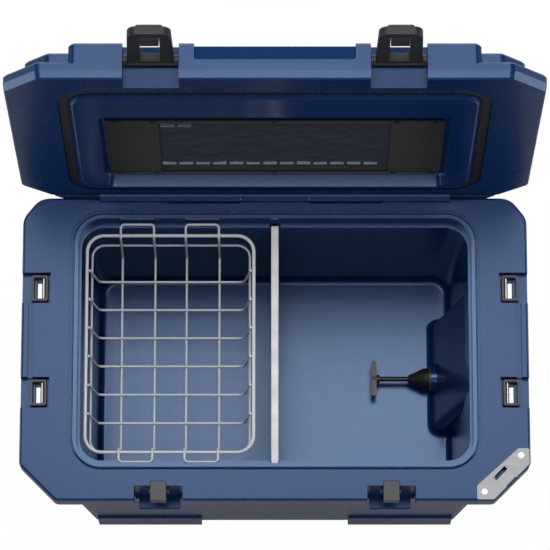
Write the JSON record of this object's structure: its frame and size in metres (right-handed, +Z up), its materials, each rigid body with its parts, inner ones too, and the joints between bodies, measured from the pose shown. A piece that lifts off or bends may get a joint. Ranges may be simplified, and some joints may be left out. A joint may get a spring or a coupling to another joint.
{
  "type": "hard-sided insulated cooler box",
  "caption": "Rectangular insulated cooler box with a hinged lid standing open, strap latches, lift-out wire basket, divider, drain plug and lid pocket.",
  "frame": {"origin": "centre of the four feet, on the ground", "axes": "+X to the box's right seen from the front, +Y towards the hinge side, +Z up"},
  "size_m": [0.814, 0.603, 0.9814],
  "materials": {
    "shell_blue": "satin moulded polyethylene",
    "foam": "rigid foam",
    "gasket_rubber": "soft black rubber",
    "foot_rubber": "grippy rubber",
    "latch_rubber": "dense black rubber",
    "pawl_plastic": "black nylon",
    "stainless": "brushed stainless steel",
    "fitting_grey": "dark grey nylon",
    "drain_plastic": "black plastic",
    "wire_coating": "light grey coated steel wire",
    "divider_plastic": "pale grey plastic",
    "pocket_fabric": "black woven fabric",
    "pocket_mesh": "dark mesh"
  },
  "bodies": {
    "tub": {"anchor_bar_front_left": "stainless", "anchor_bar_front_right": "stainless", "anchor_bar_rear_left": "stainless", "anchor_bar_rear_right": "stainless", "anchor_frame_front_left": "fitting_grey", "anchor_frame_front_right": "fitting_grey", "anchor_frame_rear_left": "fitting_grey", "anchor_frame_rear_right": "fitting_grey", "bottle_opener_plate": "stainless", "drain_nut": "drain_plastic", "drain_tube": "drain_plastic", "drain_washer": "foot_rubber", "foot_front_left": "foot_rubber", "foot_front_right": "foot_rubber", "foot_rear_left": "foot_rubber", "foot_rear_right": "foot_rubber", "foot_screws": "stainless", "hinge_pin": "stainless", "hinge_pin_caps": "drain_plastic", "keeper_left": "fitting_grey", "keeper_right": "fitting_grey", "keeper_screws": "stainless", "opener_screws": "stainless", "tub_insulation": "foam", "tub_liner": "shell_blue", "tub_shell": "shell_blue"},
    "lid": {"latch_pivot_pin_left": "stainless", "latch_pivot_pin_right": "stainless", "lid_gasket": "gasket_rubber", "lid_insulation": "foam", "lid_liner": "shell_blue", "lid_shell": "shell_blue", "pocket_binding_front": "pocket_fabric", "pocket_binding_rear": "pocket_fabric", "pocket_mesh": "pocket_mesh", "pocket_panel_left": "pocket_fabric", "pocket_panel_right": "pocket_fabric", "pocket_rivets": "stainless"},
    "latch_left": {"latch_lever_left": "latch_rubber", "latch_pawl_left": "pawl_plastic", "latch_pawl_pin_left": "stainless"},
    "latch_right": {"latch_lever_right": "latch_rubber", "latch_pawl_pin_right": "stainless", "latch_pawl_right": "pawl_plastic"},
    "basket": {"basket_cross_wire_1": "wire_coating", "basket_cross_wire_2": "wire_coating", "basket_cross_wire_3": "wire_coating", "basket_cross_wire_4": "wire_coating", "basket_cross_wire_5": "wire_coating", "basket_cross_wire_6": "wire_coating", "basket_hook_loop_left": "wire_coating", "basket_hook_loop_right": "wire_coating", "basket_mid_ring": "wire_coating", "basket_top_ring": "wire_coating"},
    "divider": {"divider_panel": "divider_plastic"},
    "drain_plug": {"drain_stopper": "foot_rubber", "drain_pull_rod": "stainless", "drain_t_handle": "drain_plastic"}
  },
  "joints": [
    {"name": "lid_hinge", "type": "hinge", "parent": "tub", "child": "lid", "pos_m": [0, 0.243, 0.4], "axis": [-1, 0, 0], "range_deg": [-95.2, 0]},
    {"name": "latch_left_pivot", "type": "hinge", "parent": "lid", "child": "latch_left", "pos_m": [-0.1845, 0.32209, 0.88282], "axis": [-1, 0, 0], "range_deg": [-94, 0]},
    {"name": "latch_right_pivot", "type": "hinge", "parent": "lid", "child": "latch_right", "pos_m": [0.1845, 0.32209, 0.88282], "axis": [-1, 0, 0], "range_deg": [-94, 0]},
    {"name": "basket_lift", "type": "slide", "parent": "tub", "child": "basket", "axis": [0, 0, 1], "range_m": [0, 0.15]},
    {"name": "divider_lift", "type": "slide", "parent": "tub", "child": "divider", "axis": [0, 0, 1], "range_m": [0, 0.33]},
    {"name": "drain_pull", "type": "slide", "parent": "tub", "child": "drain_plug", "axis": [-1, 0, 0], "range_m": [0, 0.05]}
  ]
}
